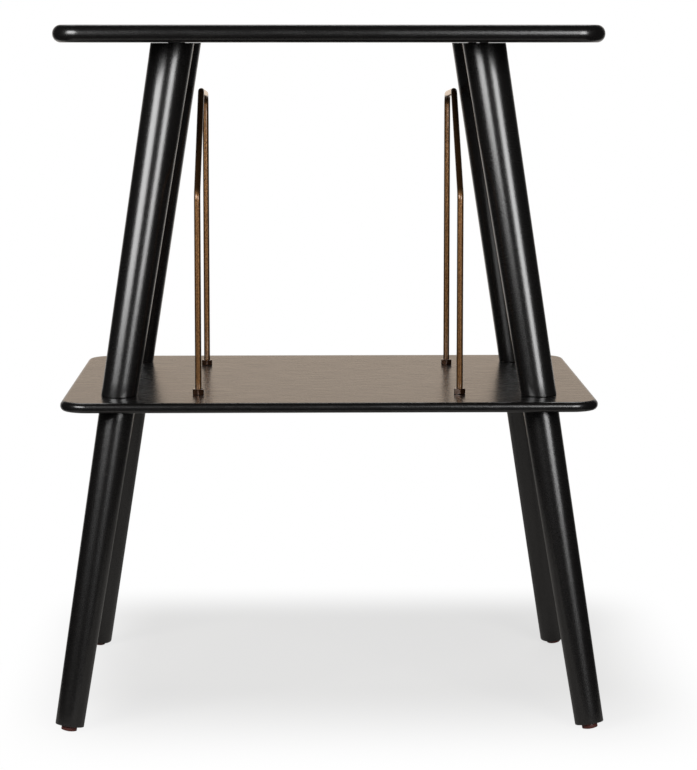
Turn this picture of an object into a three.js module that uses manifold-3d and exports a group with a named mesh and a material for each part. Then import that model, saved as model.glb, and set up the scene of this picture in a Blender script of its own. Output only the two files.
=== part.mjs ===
// Record storage stand: a top board and a thinner shelf on four splayed, tapered legs.
// Two bent wire dividers stand on the shelf and keep a row of record sleeves upright.
// Millimetres, +Z up, +X to the right and the front towards -Y.
// The origin is on the floor, under the middle of the stand.

import * as THREE from 'three';
import { mergeVertices } from 'three/addons/utils/BufferGeometryUtils.js';
import Module from 'manifold-3d';

const wasm = await Module();
wasm.setup();

// ---------------------------------------------------------------------------
// Driving dimensions
// ---------------------------------------------------------------------------

// Boards
const TOP_WIDTH = 484;
const TOP_DEPTH = 360;
const TOP_THICKNESS = 15.4;
const TOP_CORNER_RADIUS = 25;
const SHELF_THICKNESS = 9;
const SHELF_CORNER_RADIUS = 25;
const SHELF_OVERHANG = 50.5; // from a leg's axis at the shelf to the shelf's edge, both ways
const BOARD_EDGE_FLAT = 0.6; // narrow band left between the two quarter rounds of an edge
const TOP_SKIN = 3; // wood left over each blind hole in the top board

// Heights
const SHELF_HEIGHT = 297; // floor to the shelf's upper face
const RECORD_BAY_HEIGHT = 316; // shelf to the top board's underside: a sleeve is 315 tall

// Legs
const LEG_INSET_X = 101; // from the top board's side to a leg's axis, at the board's underside
const LEG_INSET_Y = 100; // from the top board's front or back to a leg's axis
const LEG_SPLAY_X = THREE.MathUtils.degToRad(8.6);
const LEG_SPLAY_Y = THREE.MathUtils.degToRad(8);
const LEG_TOP_DIAMETER = 39;
const LEG_FOOT_DIAMETER = 25.6;
const LEG_FOOT_BEVEL = 0.8;

// Foot glides and the nails that hold them
const GLIDE_DIAMETER = 14;
const GLIDE_THICKNESS = 5;
const GLIDE_DOME_RADIUS = 20;
const NAIL_DIAMETER = 2.2;
const NAIL_GRIP = 14; // length of the nail inside the leg
const NAIL_POINT = 3;
const NAIL_HEAD_DIAMETER = 4.2;
const NAIL_HEAD_THICKNESS = 0.9;
const NAIL_HEAD_SETBACK = 0.7; // from the dome's pole up to the nail head

// Studs and threaded inserts that join the legs to the boards
const STUD_DIAMETER = 8;
const STUD_WOOD_LENGTH = 32; // length of a stud inside the leg that carries it
const STUD_POINT = 6;
const STUD_CHAMFER = 1;
const INSERT_DIAMETER = 12;
const LEG_INSERT_LENGTH = 16;
const INSERT_END_MARGIN = 1.5; // a stud stops this far short of its insert's far end

// Wire dividers
const ROD_DIAMETER = 6;
const DIVIDER_INSET = 3.5; // from the legs' inner sides at the top board in to a divider's axis
const DIVIDER_FRONT_INSET = 59; // from the shelf's front edge to the front post
const DIVIDER_BACK_INSET = 78; // from the shelf's back edge to the back post
const DIVIDER_TOP_ROOM = 45; // from the top board down to the wire's upper front corner
const DIVIDER_SLANT_RISE = 90; // height of the sloping front stretch
const DIVIDER_SLANT_RUN = 104; // depth of the sloping front stretch
const DIVIDER_RAIL_FALL = 5; // the top stretch is this much lower at its back end
const ROD_BEND_RADIUS = 11;
const ROD_END_PROUD = 1.4; // rod showing below the lower nut

// Divider nuts and washers
const NUT_ACROSS_FLATS = 10;
const NUT_HEIGHT = 5;
const NUT_CHAMFER = 0.7;
const WASHER_DIAMETER = 12;
const WASHER_THICKNESS = 1.2;

// Clearances
const FIT_GAP = 0.3; // between a leg, stud, insert or rod and what it fits in or sits on
const SEAT_GAP = 0.05; // between level faces that rest on each other

// Roundness of the model
const BOARD_CORNER_STEPS = 8;
const BOARD_EDGE_STEPS = 5;
const LEG_SIDES = 40;
const HARDWARE_SIDES = 16;
const GLIDE_SIDES = 24;
const ROD_SIDES = 14;
const ROD_BEND_STEPS = 7;
const DOME_STEPS = 3;

// ---------------------------------------------------------------------------
// Sizes worked out from the driving dimensions
// ---------------------------------------------------------------------------

const TOP_UNDERSIDE = SHELF_HEIGHT + RECORD_BAY_HEIGHT;
const SHELF_UNDERSIDE = SHELF_HEIGHT - SHELF_THICKNESS;

// A leg leans by LEAN from the vertical, along a line set by its two splays.
const LEAN = Math.atan(Math.hypot(Math.tan(LEG_SPLAY_X), Math.tan(LEG_SPLAY_Y)));
const LEG_TOP_X = TOP_WIDTH / 2 - LEG_INSET_X;
const LEG_TOP_Y = TOP_DEPTH / 2 - LEG_INSET_Y;
const LEG_SHELF_X = LEG_TOP_X + RECORD_BAY_HEIGHT * Math.tan(LEG_SPLAY_X);
const LEG_SHELF_Y = LEG_TOP_Y + RECORD_BAY_HEIGHT * Math.tan(LEG_SPLAY_Y);
const SHELF_WIDTH = 2 * (LEG_SHELF_X + SHELF_OVERHANG);
const SHELF_DEPTH = 2 * (LEG_SHELF_Y + SHELF_OVERHANG);

// Places along a leg's axis, measured down the axis from the top board's underside.
const TO_SHELF = RECORD_BAY_HEIGHT / Math.cos(LEAN);
const TO_SHELF_UNDERSIDE = (RECORD_BAY_HEIGHT + SHELF_THICKNESS) / Math.cos(LEAN);

// The glide touches the floor where its dome's tilt is the leg's lean, or else at its rim.
const GLIDE_RIM_ANGLE = Math.asin(GLIDE_DIAMETER / 2 / GLIDE_DOME_RADIUS);
const CONTACT_ANGLE = Math.min(LEAN, GLIDE_RIM_ANGLE);
const DOME_CENTRE_HEIGHT = GLIDE_DOME_RADIUS * Math.cos(LEAN - CONTACT_ANGLE);
const TO_DOME_CENTRE = (TOP_UNDERSIDE - DOME_CENTRE_HEIGHT) / Math.cos(LEAN);
const TO_DOME_POLE = TO_DOME_CENTRE + GLIDE_DOME_RADIUS;
const TO_GLIDE = TO_DOME_POLE - GLIDE_THICKNESS;
const LEG_LENGTH = TO_GLIDE - FIT_GAP;

// Holes are wider than what fits in them by the same gap all round.
const STUD_HOLE_RADIUS = STUD_DIAMETER / 2 + FIT_GAP;
const INSERT_HOLE_RADIUS = INSERT_DIAMETER / 2 + FIT_GAP;
const ROD_HOLE_RADIUS = ROD_DIAMETER / 2 + FIT_GAP;
const NAIL_HOLE_RADIUS = NAIL_DIAMETER / 2 + FIT_GAP;

// An insert is square to the leaning axis, so it starts a little inside the level face.
const INSERT_SETBACK = (INSERT_DIAMETER / 2) * Math.tan(LEAN) + 2 * FIT_GAP;
const TOP_HOLE_ROOM = TOP_THICKNESS - TOP_SKIN - INSERT_HOLE_RADIUS * Math.sin(LEAN);
const TOP_HOLE_DEPTH = TOP_HOLE_ROOM / Math.cos(LEAN);
const TOP_INSERT_LENGTH = TOP_HOLE_DEPTH - INSERT_SETBACK - FIT_GAP;
const TOP_STUD_REACH = INSERT_SETBACK + TOP_INSERT_LENGTH - INSERT_END_MARGIN;
const SHELF_STUD_REACH = INSERT_SETBACK + LEG_INSERT_LENGTH - INSERT_END_MARGIN;

// Wire dividers: places of the posts and heights above the floor.
const DIVIDER_X = LEG_TOP_X - LEG_TOP_DIAMETER / 2 - DIVIDER_INSET;
const DIVIDER_FRONT_Y = -SHELF_DEPTH / 2 + DIVIDER_FRONT_INSET;
const DIVIDER_BACK_Y = SHELF_DEPTH / 2 - DIVIDER_BACK_INSET;
const DIVIDER_CORNER_Y = DIVIDER_FRONT_Y + DIVIDER_SLANT_RUN;
const DIVIDER_CORNER_Z = TOP_UNDERSIDE - DIVIDER_TOP_ROOM;
const DIVIDER_BEND_Z = DIVIDER_CORNER_Z - DIVIDER_SLANT_RISE;
const DIVIDER_BACK_Z = DIVIDER_CORNER_Z - DIVIDER_RAIL_FALL;
const NUT_Z = SHELF_HEIGHT + SEAT_GAP;
const WASHER_Z = SHELF_UNDERSIDE - SEAT_GAP - WASHER_THICKNESS;
const UNDER_NUT_Z = WASHER_Z - SEAT_GAP - NUT_HEIGHT;
const ROD_END_Z = UNDER_NUT_Z - ROD_END_PROUD;

// Cutting tools reach this far past the face they cut through.
const CUT_MARGIN = 5;

// ---------------------------------------------------------------------------
// Materials
// ---------------------------------------------------------------------------

function blackWood(roughness) {
  return new THREE.MeshStandardMaterial({ color: '#1c1b1b', roughness, metalness: 0 });
}

function agedBrass() {
  return new THREE.MeshStandardMaterial({ color: '#6f5338', roughness: 0.35, metalness: 1 });
}

function brownPlastic() {
  return new THREE.MeshStandardMaterial({ color: '#5a2a24', roughness: 0.45, metalness: 0 });
}

function zincSteel() {
  return new THREE.MeshStandardMaterial({ color: '#b4b8bb', roughness: 0.4, metalness: 1 });
}

// ---------------------------------------------------------------------------
// Joining and cutting solids
// ---------------------------------------------------------------------------

// Turns a closed three.js geometry into a solid that can be joined and cut.
function toSolid(geometry) {
  const bare = geometry.clone();
  bare.deleteAttribute('normal');
  bare.deleteAttribute('uv');
  const merged = mergeVertices(bare);
  const index = merged.index.array;
  const corners = [];
  for (let i = 0; i < index.length; i += 3) {
    const [a, b, c] = [index[i], index[i + 1], index[i + 2]];
    if (a !== b && b !== c && c !== a) corners.push(a, b, c);
  }
  const mesh = new wasm.Mesh({
    numProp: 3,
    vertProperties: new Float32Array(merged.attributes.position.array),
    triVerts: new Uint32Array(corners),
  });
  return new wasm.Manifold(mesh);
}

// Turns a finished solid back into a three.js geometry.
function toGeometry(solid) {
  const mesh = solid.getMesh();
  const geometry = new THREE.BufferGeometry();
  geometry.setAttribute('position', new THREE.BufferAttribute(new Float32Array(mesh.vertProperties), 3));
  geometry.setIndex(new THREE.BufferAttribute(new Uint32Array(mesh.triVerts), 1));
  const faceted = geometry.toNonIndexed();
  faceted.computeVertexNormals();
  return faceted;
}

// ---------------------------------------------------------------------------
// Basic shapes
// ---------------------------------------------------------------------------

// A round bar on the Z axis between two heights.
function bar(radius, low, high, sides = HARDWARE_SIDES) {
  const geometry = new THREE.CylinderGeometry(radius, radius, high - low, sides);
  geometry.rotateX(Math.PI / 2);
  geometry.translate(0, 0, (low + high) / 2);
  return geometry;
}

// A turned shape on the Z axis. Each profile point is [radius, height].
function turned(profile, sides) {
  const points = profile.map(([radius, height]) => new THREE.Vector2(radius, height));
  const geometry = new THREE.LatheGeometry(points, sides);
  geometry.rotateX(Math.PI / 2);
  return geometry;
}

// A turned ring: its profile goes once round and closes on itself.
function turnedRing(profile, sides) {
  return turned([...profile, profile[0]], sides);
}

// Corner-rounded outline of a board, centred on the origin.
function boardOutline(width, depth, radius) {
  const outline = [];
  const quarters = [[1, 1], [-1, 1], [-1, -1], [1, -1]];
  quarters.forEach(([sideX, sideY], quarter) => {
    const centreX = sideX * (width / 2 - radius);
    const centreY = sideY * (depth / 2 - radius);
    for (let step = 0; step <= BOARD_CORNER_STEPS; step += 1) {
      const angle = (quarter + step / BOARD_CORNER_STEPS) * (Math.PI / 2);
      outline.push(new THREE.Vector2(
        centreX + radius * Math.cos(angle),
        centreY + radius * Math.sin(angle),
      ));
    }
  });
  return outline;
}

// A board with full-round edges whose underside is at the given height.
function board(width, depth, thickness, cornerRadius, underside) {
  const edgeRound = (thickness - BOARD_EDGE_FLAT) / 2;
  const geometry = new THREE.ExtrudeGeometry(new THREE.Shape(boardOutline(width, depth, cornerRadius)), {
    depth: BOARD_EDGE_FLAT,
    bevelEnabled: true,
    bevelThickness: edgeRound,
    bevelSize: edgeRound,
    bevelOffset: -edgeRound,
    bevelSegments: BOARD_EDGE_STEPS,
  });
  geometry.translate(0, 0, underside + edgeRound);
  return geometry;
}

// ---------------------------------------------------------------------------
// Leg frames: origin where a leg's axis meets the top board's underside, +Z up the axis
// ---------------------------------------------------------------------------

const CORNERS = [
  { name: 'front_left', sideX: -1, sideY: -1 },
  { name: 'front_right', sideX: 1, sideY: -1 },
  { name: 'back_left', sideX: -1, sideY: 1 },
  { name: 'back_right', sideX: 1, sideY: 1 },
];

// The outer group faces the way the leg splays, and the inner one leans with it.
function legFrame({ sideX, sideY }) {
  const facing = new THREE.Group();
  facing.position.set(sideX * LEG_TOP_X, sideY * LEG_TOP_Y, TOP_UNDERSIDE);
  facing.rotation.z = Math.atan2(sideY * Math.tan(LEG_SPLAY_Y), sideX * Math.tan(LEG_SPLAY_X));
  const leaning = new THREE.Group();
  leaning.rotation.y = -LEAN;
  facing.add(leaning);
  facing.updateMatrixWorld(true);
  return { facing, leaning };
}

// A level slab in a leg's frame, between two drops below the top board's underside.
function levelSlab(highDrop, lowDrop) {
  const reach = 6 * LEG_TOP_DIAMETER + lowDrop;
  const geometry = new THREE.BoxGeometry(2 * reach, 2 * reach, lowDrop - highDrop);
  geometry.translate(0, 0, -(lowDrop + highDrop) / 2);
  geometry.rotateY(LEAN);
  return toSolid(geometry);
}

// ---------------------------------------------------------------------------
// Legs
// ---------------------------------------------------------------------------

// A leg's radius at a distance down its axis: one straight taper through both pieces.
function legRadius(distance) {
  return THREE.MathUtils.lerp(LEG_TOP_DIAMETER, LEG_FOOT_DIAMETER, distance / LEG_LENGTH) / 2;
}

function upperLegGeometry() {
  const spare = LEG_TOP_DIAMETER * Math.tan(LEAN);
  const low = TO_SHELF + spare;
  const cone = toSolid(turned([
    [0, -low],
    [legRadius(low), -low],
    [legRadius(-spare), spare],
    [0, spare],
  ], LEG_SIDES));
  const studHole = toSolid(bar(STUD_HOLE_RADIUS, -STUD_WOOD_LENGTH - FIT_GAP, spare + CUT_MARGIN));
  const insertTop = -TO_SHELF + INSERT_SETBACK + LEG_INSERT_LENGTH + FIT_GAP;
  const insertHole = toSolid(bar(INSERT_HOLE_RADIUS, -low - CUT_MARGIN, insertTop));
  const body = cone.intersect(levelSlab(FIT_GAP, RECORD_BAY_HEIGHT - FIT_GAP));
  return toGeometry(body.subtract(studHole).subtract(insertHole));
}

function lowerLegGeometry() {
  const spare = LEG_TOP_DIAMETER * Math.tan(LEAN);
  const high = TO_SHELF_UNDERSIDE - spare;
  const footRadius = legRadius(LEG_LENGTH);
  const cone = toSolid(turned([
    [0, -LEG_LENGTH],
    [footRadius - LEG_FOOT_BEVEL, -LEG_LENGTH],
    [legRadius(LEG_LENGTH - LEG_FOOT_BEVEL), -LEG_LENGTH + LEG_FOOT_BEVEL],
    [legRadius(high), -high],
    [0, -high],
  ], LEG_SIDES));
  const studEnd = TO_SHELF_UNDERSIDE + STUD_WOOD_LENGTH + FIT_GAP;
  const studHole = toSolid(bar(STUD_HOLE_RADIUS, -studEnd, -high + CUT_MARGIN));
  const nailEnd = LEG_LENGTH - NAIL_GRIP - FIT_GAP;
  const nailHole = toSolid(bar(NAIL_HOLE_RADIUS, -LEG_LENGTH - CUT_MARGIN, -nailEnd));
  const shelfDrop = RECORD_BAY_HEIGHT + SHELF_THICKNESS + FIT_GAP;
  const body = cone.intersect(levelSlab(shelfDrop, TOP_UNDERSIDE + LEG_TOP_DIAMETER));
  return toGeometry(body.subtract(studHole).subtract(nailHole));
}

// ---------------------------------------------------------------------------
// Foot glides and nails
// ---------------------------------------------------------------------------

const NAIL_HEAD_HOLE_RADIUS = NAIL_HEAD_DIAMETER / 2 + FIT_GAP;
const TO_NAIL_HEAD = TO_DOME_POLE - NAIL_HEAD_SETBACK;
const TO_NAIL_SEAT = TO_NAIL_HEAD - NAIL_HEAD_THICKNESS - FIT_GAP;

// A point of the dome, at an angle from its pole, as [radius, height] in the leg's frame.
function domePoint(angle) {
  return [
    GLIDE_DOME_RADIUS * Math.sin(angle),
    -(TO_DOME_CENTRE + GLIDE_DOME_RADIUS * Math.cos(angle)),
  ];
}

function glideGeometry() {
  const holeAngle = Math.asin(NAIL_HEAD_HOLE_RADIUS / GLIDE_DOME_RADIUS);
  const dome = [domePoint(holeAngle)];
  for (let step = 0; step <= DOME_STEPS; step += 1) {
    dome.push(domePoint(THREE.MathUtils.lerp(CONTACT_ANGLE, GLIDE_RIM_ANGLE, step / DOME_STEPS)));
  }
  return turnedRing([
    [NAIL_HOLE_RADIUS, -TO_NAIL_SEAT],
    [NAIL_HEAD_HOLE_RADIUS, -TO_NAIL_SEAT],
    ...dome,
    [GLIDE_DIAMETER / 2, -TO_GLIDE],
    [NAIL_HOLE_RADIUS, -TO_GLIDE],
  ], GLIDE_SIDES);
}

function nailGeometry() {
  const shankRadius = NAIL_DIAMETER / 2;
  const tip = -(LEG_LENGTH - NAIL_GRIP);
  const headTop = -(TO_NAIL_HEAD - NAIL_HEAD_THICKNESS);
  return turned([
    [0, -TO_NAIL_HEAD],
    [NAIL_HEAD_DIAMETER / 2, -TO_NAIL_HEAD],
    [NAIL_HEAD_DIAMETER / 2, headTop],
    [shankRadius, headTop],
    [shankRadius, tip - NAIL_POINT],
    [0, tip],
  ], HARDWARE_SIDES);
}

// ---------------------------------------------------------------------------
// Studs and threaded inserts
// ---------------------------------------------------------------------------

// A stud with a pointed wood end below and a chamfered machine end above.
function studGeometry(low, high) {
  const radius = STUD_DIAMETER / 2;
  return turned([
    [0, low],
    [radius, low + STUD_POINT],
    [radius, high - STUD_CHAMFER],
    [radius - STUD_CHAMFER, high],
    [0, high],
  ], HARDWARE_SIDES);
}

function insertGeometry(low, high) {
  return turnedRing([
    [STUD_HOLE_RADIUS, low],
    [INSERT_DIAMETER / 2, low],
    [INSERT_DIAMETER / 2, high],
    [STUD_HOLE_RADIUS, high],
  ], HARDWARE_SIDES);
}

// ---------------------------------------------------------------------------
// Wire dividers
// ---------------------------------------------------------------------------

// The centreline of a bent rod: straight runs that meet in round bends.
// Its stations are the ends of the runs and a few steps round each bend.
class BentRodPath extends THREE.Curve {
  constructor(corners, bendRadius, bendSteps) {
    super();
    this.stations = [];
    const last = corners.length - 1;
    this.addStation(corners[0], corners[1].clone().sub(corners[0]).normalize());
    for (let i = 1; i < last; i += 1) {
      const into = corners[i].clone().sub(corners[i - 1]).normalize();
      const away = corners[i + 1].clone().sub(corners[i]).normalize();
      const turn = into.angleTo(away);
      const inward = away.clone().sub(into.clone().multiplyScalar(into.dot(away))).normalize();
      const start = corners[i].clone().addScaledVector(into, -bendRadius * Math.tan(turn / 2));
      for (let step = 0; step <= bendSteps; step += 1) {
        const angle = (turn * step) / bendSteps;
        const point = start.clone()
          .addScaledVector(into, bendRadius * Math.sin(angle))
          .addScaledVector(inward, bendRadius * (1 - Math.cos(angle)));
        const heading = into.clone().multiplyScalar(Math.cos(angle));
        this.addStation(point, heading.addScaledVector(inward, Math.sin(angle)));
      }
    }
    this.addStation(corners[last], corners[last].clone().sub(corners[last - 1]).normalize());
  }

  addStation(point, heading) {
    this.stations.push({ point: point.clone(), heading: heading.clone() });
  }

  get steps() {
    return this.stations.length - 1;
  }

  station(fraction) {
    return this.stations[Math.round(fraction * this.steps)];
  }

  getPointAt(fraction, target = new THREE.Vector3()) {
    return target.copy(this.station(fraction).point);
  }

  getTangentAt(fraction, target = new THREE.Vector3()) {
    return target.copy(this.station(fraction).heading);
  }
}

function dividerGeometry(x) {
  const path = new BentRodPath([
    new THREE.Vector3(x, DIVIDER_FRONT_Y, ROD_END_Z),
    new THREE.Vector3(x, DIVIDER_FRONT_Y, DIVIDER_BEND_Z),
    new THREE.Vector3(x, DIVIDER_CORNER_Y, DIVIDER_CORNER_Z),
    new THREE.Vector3(x, DIVIDER_BACK_Y, DIVIDER_BACK_Z),
    new THREE.Vector3(x, DIVIDER_BACK_Y, ROD_END_Z),
  ], ROD_BEND_RADIUS, ROD_BEND_STEPS);
  const section = [];
  for (let side = 0; side < ROD_SIDES; side += 1) {
    const angle = (side / ROD_SIDES) * 2 * Math.PI;
    section.push(new THREE.Vector2(Math.cos(angle), Math.sin(angle)).multiplyScalar(ROD_DIAMETER / 2));
  }
  return new THREE.ExtrudeGeometry(new THREE.Shape(section), { steps: path.steps, extrudePath: path });
}

// A hexagon nut on the Z axis, standing on its lower face, with both ends chamfered.
function nutGeometry() {
  const cornerRadius = NUT_ACROSS_FLATS / 2 / Math.cos(Math.PI / 6);
  const faceRadius = NUT_ACROSS_FLATS / 2 - NUT_CHAMFER / 2;
  const hexagon = toSolid(bar(cornerRadius, 0, NUT_HEIGHT, 6));
  const chamfer = toSolid(turned([
    [0, 0],
    [faceRadius, 0],
    [cornerRadius, NUT_CHAMFER],
    [cornerRadius, NUT_HEIGHT - NUT_CHAMFER],
    [faceRadius, NUT_HEIGHT],
    [0, NUT_HEIGHT],
  ], GLIDE_SIDES));
  const hole = toSolid(bar(ROD_HOLE_RADIUS, -CUT_MARGIN, NUT_HEIGHT + CUT_MARGIN));
  return toGeometry(hexagon.intersect(chamfer).subtract(hole));
}

function washerGeometry() {
  return turnedRing([
    [ROD_HOLE_RADIUS, 0],
    [WASHER_DIAMETER / 2, 0],
    [WASHER_DIAMETER / 2, WASHER_THICKNESS],
    [ROD_HOLE_RADIUS, WASHER_THICKNESS],
  ], GLIDE_SIDES);
}

// ---------------------------------------------------------------------------
// Boards with their holes
// ---------------------------------------------------------------------------

function topBoardGeometry(frames) {
  let solid = toSolid(board(TOP_WIDTH, TOP_DEPTH, TOP_THICKNESS, TOP_CORNER_RADIUS, TOP_UNDERSIDE));
  for (const { leaning } of frames) {
    const hole = bar(INSERT_HOLE_RADIUS, -CUT_MARGIN, TOP_HOLE_DEPTH);
    hole.applyMatrix4(leaning.matrixWorld);
    solid = solid.subtract(toSolid(hole));
  }
  return toGeometry(solid);
}

function shelfGeometry(frames, posts) {
  let solid = toSolid(board(SHELF_WIDTH, SHELF_DEPTH, SHELF_THICKNESS, SHELF_CORNER_RADIUS, SHELF_UNDERSIDE));
  for (const { leaning } of frames) {
    const hole = bar(STUD_HOLE_RADIUS, -TO_SHELF_UNDERSIDE - CUT_MARGIN, -TO_SHELF + CUT_MARGIN);
    hole.applyMatrix4(leaning.matrixWorld);
    solid = solid.subtract(toSolid(hole));
  }
  for (const { x, y } of posts) {
    const hole = bar(ROD_HOLE_RADIUS, SHELF_UNDERSIDE - CUT_MARGIN, SHELF_HEIGHT + CUT_MARGIN);
    hole.translate(x, y, 0);
    solid = solid.subtract(toSolid(hole));
  }
  return toGeometry(solid);
}

// ---------------------------------------------------------------------------
// The assembly
// ---------------------------------------------------------------------------

const stand = new THREE.Group();

function addPiece(parent, name, geometry, material) {
  const piece = new THREE.Mesh(geometry, material);
  piece.name = name;
  parent.add(piece);
  return piece;
}

const frames = CORNERS.map(legFrame);
const dividers = [{ name: 'left', x: -DIVIDER_X }, { name: 'right', x: DIVIDER_X }];
const posts = dividers.flatMap(({ name, x }) => [
  { name: `${name}_front`, x, y: DIVIDER_FRONT_Y },
  { name: `${name}_back`, x, y: DIVIDER_BACK_Y },
]);

addPiece(stand, 'top_board', topBoardGeometry(frames), blackWood(0.4));
addPiece(stand, 'shelf', shelfGeometry(frames, posts), blackWood(0.3));

const legInsertLow = -TO_SHELF + INSERT_SETBACK;
CORNERS.forEach((corner, i) => {
  const { facing, leaning } = frames[i];
  stand.add(facing);
  addPiece(leaning, `upper_leg_${corner.name}`, upperLegGeometry(), blackWood(0.35));
  addPiece(leaning, `lower_leg_${corner.name}`, lowerLegGeometry(), blackWood(0.35));
  addPiece(leaning, `foot_glide_${corner.name}`, glideGeometry(), brownPlastic());
  addPiece(leaning, `glide_nail_${corner.name}`, nailGeometry(), zincSteel());
  addPiece(leaning, `top_stud_${corner.name}`, studGeometry(-STUD_WOOD_LENGTH, TOP_STUD_REACH), zincSteel());
  addPiece(leaning, `top_insert_${corner.name}`,
    insertGeometry(INSERT_SETBACK, INSERT_SETBACK + TOP_INSERT_LENGTH), zincSteel());
  addPiece(leaning, `shelf_stud_${corner.name}`,
    studGeometry(-TO_SHELF_UNDERSIDE - STUD_WOOD_LENGTH, -TO_SHELF + SHELF_STUD_REACH), zincSteel());
  addPiece(leaning, `leg_insert_${corner.name}`,
    insertGeometry(legInsertLow, legInsertLow + LEG_INSERT_LENGTH), zincSteel());
});

for (const { name, x } of dividers) {
  addPiece(stand, `wire_divider_${name}`, dividerGeometry(x), agedBrass());
}

for (const { name, x, y } of posts) {
  addPiece(stand, `divider_nut_${name}`, nutGeometry(), agedBrass()).position.set(x, y, NUT_Z);
  addPiece(stand, `divider_washer_${name}`, washerGeometry(), agedBrass()).position.set(x, y, WASHER_Z);
  addPiece(stand, `divider_under_nut_${name}`, nutGeometry(), agedBrass()).position.set(x, y, UNDER_NUT_Z);
}

export default stand;
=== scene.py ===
"""Record storage stand: finishes and a small studio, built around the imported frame.

Four splayed, tapered legs carry two lacquered boards, and two bent wire dividers stand on the
lower one. Everything is in metres, +Z up, +X to the right and the front towards -Y, with the
origin on the floor under the middle of the stand.
"""

import math

import bpy
import numpy as np
from bpy.props import FloatProperty, FloatVectorProperty, PointerProperty
from bpy.types import Operator, Panel, PropertyGroup
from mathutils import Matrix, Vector
from mathutils.geometry import delaunay_2d_cdt


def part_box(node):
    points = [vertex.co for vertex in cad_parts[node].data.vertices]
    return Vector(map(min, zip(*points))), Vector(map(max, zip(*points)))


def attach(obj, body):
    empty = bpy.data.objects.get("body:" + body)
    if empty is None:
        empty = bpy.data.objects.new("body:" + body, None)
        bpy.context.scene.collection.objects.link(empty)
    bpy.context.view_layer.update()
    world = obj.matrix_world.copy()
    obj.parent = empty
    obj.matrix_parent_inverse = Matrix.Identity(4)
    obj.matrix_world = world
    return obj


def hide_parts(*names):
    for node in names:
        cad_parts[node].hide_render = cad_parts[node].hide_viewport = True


bl_info = {
    "name": "Record storage stand",
    "version": (1, 0, 0),
    "blender": (4, 5, 0),
    "location": "3D View > Sidebar > Stand",
    "description": "Dresses a record storage stand in its finishes and lights it in a small studio",
    "category": "Add Mesh",
}

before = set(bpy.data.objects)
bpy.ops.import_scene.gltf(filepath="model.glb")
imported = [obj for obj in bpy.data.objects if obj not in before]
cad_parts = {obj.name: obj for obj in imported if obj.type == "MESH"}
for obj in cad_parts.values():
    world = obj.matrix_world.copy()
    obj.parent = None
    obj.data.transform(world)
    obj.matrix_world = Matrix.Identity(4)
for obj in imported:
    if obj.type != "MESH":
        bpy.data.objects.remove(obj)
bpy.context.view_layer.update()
TOP_LOW, TOP_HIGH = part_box("top_board")
SHELF_LOW, SHELF_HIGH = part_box("shelf")
DIVIDER_LOW, DIVIDER_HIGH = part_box("wire_divider_right")

MM = 0.001
BODY = "root"
CORNERS = {
    "front_left": (-1, -1),
    "front_right": (1, -1),
    "back_left": (-1, 1),
    "back_right": (1, 1),
}
SIDES = ("left", "right")
FIT_GAP = 0.3 * MM  # between a piece and the bore or hole round it, as in the frame
NUT_GAP = 0.18 * MM  # between a nut's bore and the wire, which its thread fits more closely


def linear(hex_colour):
    """The linear red, green and blue of an sRGB hex colour."""
    channels = np.array([int(hex_colour[i:i + 2], 16) for i in (1, 3, 5)]) / 255
    return tuple(np.where(channels <= 0.04045, channels / 12.92, ((channels + 0.055) / 1.055) ** 2.4))


# --- Sizes and colours that a user would change ---


def length(name, description, default):
    """A length in metres, shown in the scene's units."""
    return FloatProperty(name=name, description=description, default=default, unit="LENGTH", precision=4)


def angle(name, description, degrees):
    """An angle, given in degrees and kept in radians."""
    return FloatProperty(
        name=name, description=description, default=math.radians(degrees), subtype="ANGLE")


def colour(name, description, hex_colour):
    """A surface colour, given as sRGB hex and kept linear."""
    return FloatVectorProperty(
        name=name, description=description, default=linear(hex_colour), subtype="COLOR", min=0, max=1)


class BoardSizes(PropertyGroup):
    """The top board and the shelf."""

    top_width: length("Top width", "Width of the top board", TOP_HIGH.x - TOP_LOW.x)
    top_depth: length("Top depth", "Depth of the top board", TOP_HIGH.y - TOP_LOW.y)
    top_thickness: length("Top thickness", "Thickness of the top board", TOP_HIGH.z - TOP_LOW.z)
    top_underside: length("Top underside", "Floor to the top board's underside", TOP_LOW.z)
    shelf_width: length("Shelf width", "Width of the shelf", SHELF_HIGH.x - SHELF_LOW.x)
    shelf_depth: length("Shelf depth", "Depth of the shelf", SHELF_HIGH.y - SHELF_LOW.y)
    shelf_thickness: length("Shelf thickness", "Thickness of the shelf", SHELF_HIGH.z - SHELF_LOW.z)
    shelf_height: length("Shelf height", "Floor to the shelf's upper face", SHELF_HIGH.z)
    corner_radius: length("Corner radius", "Radius of both boards' corners in plan", 25 * MM)
    edge_flat: length("Edge flat", "Flat band between the two quarter rounds of an edge", 0.6 * MM)
    top_skin: length("Top skin", "Wood left over each blind hole in the top board", 3 * MM)


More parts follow.
